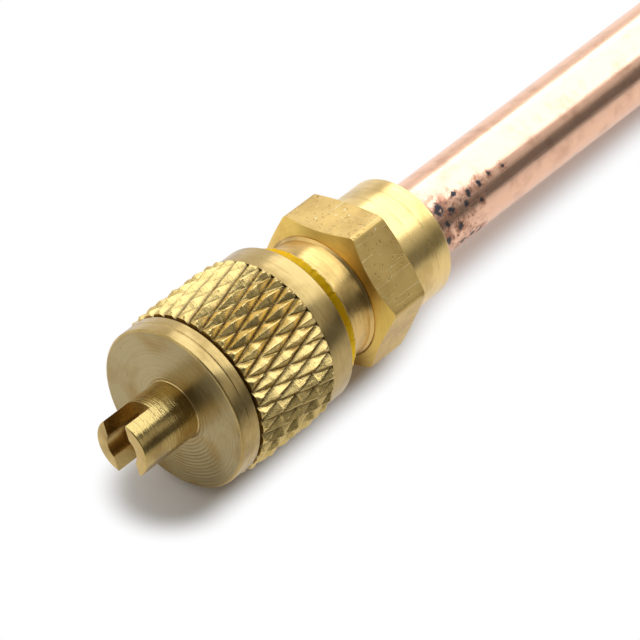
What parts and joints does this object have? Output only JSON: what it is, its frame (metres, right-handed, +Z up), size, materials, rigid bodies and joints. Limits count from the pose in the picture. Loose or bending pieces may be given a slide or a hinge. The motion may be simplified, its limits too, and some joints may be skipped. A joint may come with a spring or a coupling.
{
  "type": "refrigerant service valve",
  "caption": "Refrigerant access valve: hexagon brass body on a copper tube stub, with a spring-loaded core under a knurled screw cap whose stem is slotted to remove the core.",
  "frame": {"origin": "centre of the footprint of the bounding box, on the table that the valve lies on", "axes": "+X along the valve from the cap to the copper tube's open end, +Z up; the valve's own axis leans 2.39 degrees down towards the tube, because the cap is wider than the tube"},
  "size_m": [0.1002, 0.0134, 0.0137],
  "materials": {
    "body_brass": "turned, bright",
    "cap_brass": "turned, with a diamond knurl",
    "copper": "drawn copper, with oxide spots by the brazed joint",
    "braze": "as flowed",
    "core_brass": "turned",
    "gasket_rubber": "matt",
    "seal_rubber": "matt",
    "washer_plastic": "matt",
    "pin_steel": "plain",
    "spring_steel": "plain"
  },
  "bodies": {
    "body": {"valve_body": "body_brass", "copper_tube": "copper", "braze_ring": "braze", "core_plug": "core_brass", "core_barrel": "core_brass", "core_washer": "washer_plastic", "core_spring": "spring_steel"},
    "gasket": {"cap_gasket": "gasket_rubber"},
    "cap": {"cap": "cap_brass"},
    "pin": {"core_pin": "pin_steel", "core_cup": "core_brass", "core_seal": "seal_rubber"}
  },
  "joints": [
    {"name": "cap_travel", "type": "slide", "parent": "body", "child": "gasket", "axis": [-0.9991, 0, 0.0417], "range_m": [0, 0.0076]},
    {"name": "cap_unscrew", "type": "hinge", "parent": "gasket", "child": "cap", "pos_m": [-0.03868, 0, 0.00687], "axis": [-0.9991, 0, 0.0417], "range_deg": [0, 2160]},
    {"name": "core_press", "type": "slide", "parent": "body", "child": "pin", "axis": [0.9991, 0, -0.0417], "range_m": [0, 0.0012], "stiffness_N_per_m": 800, "deforming": ["core_spring"]}
  ],
  "couplings": [
    {"joint": "cap_unscrew", "follows": "cap_travel", "rad_per_m": 4947.4}
  ]
}
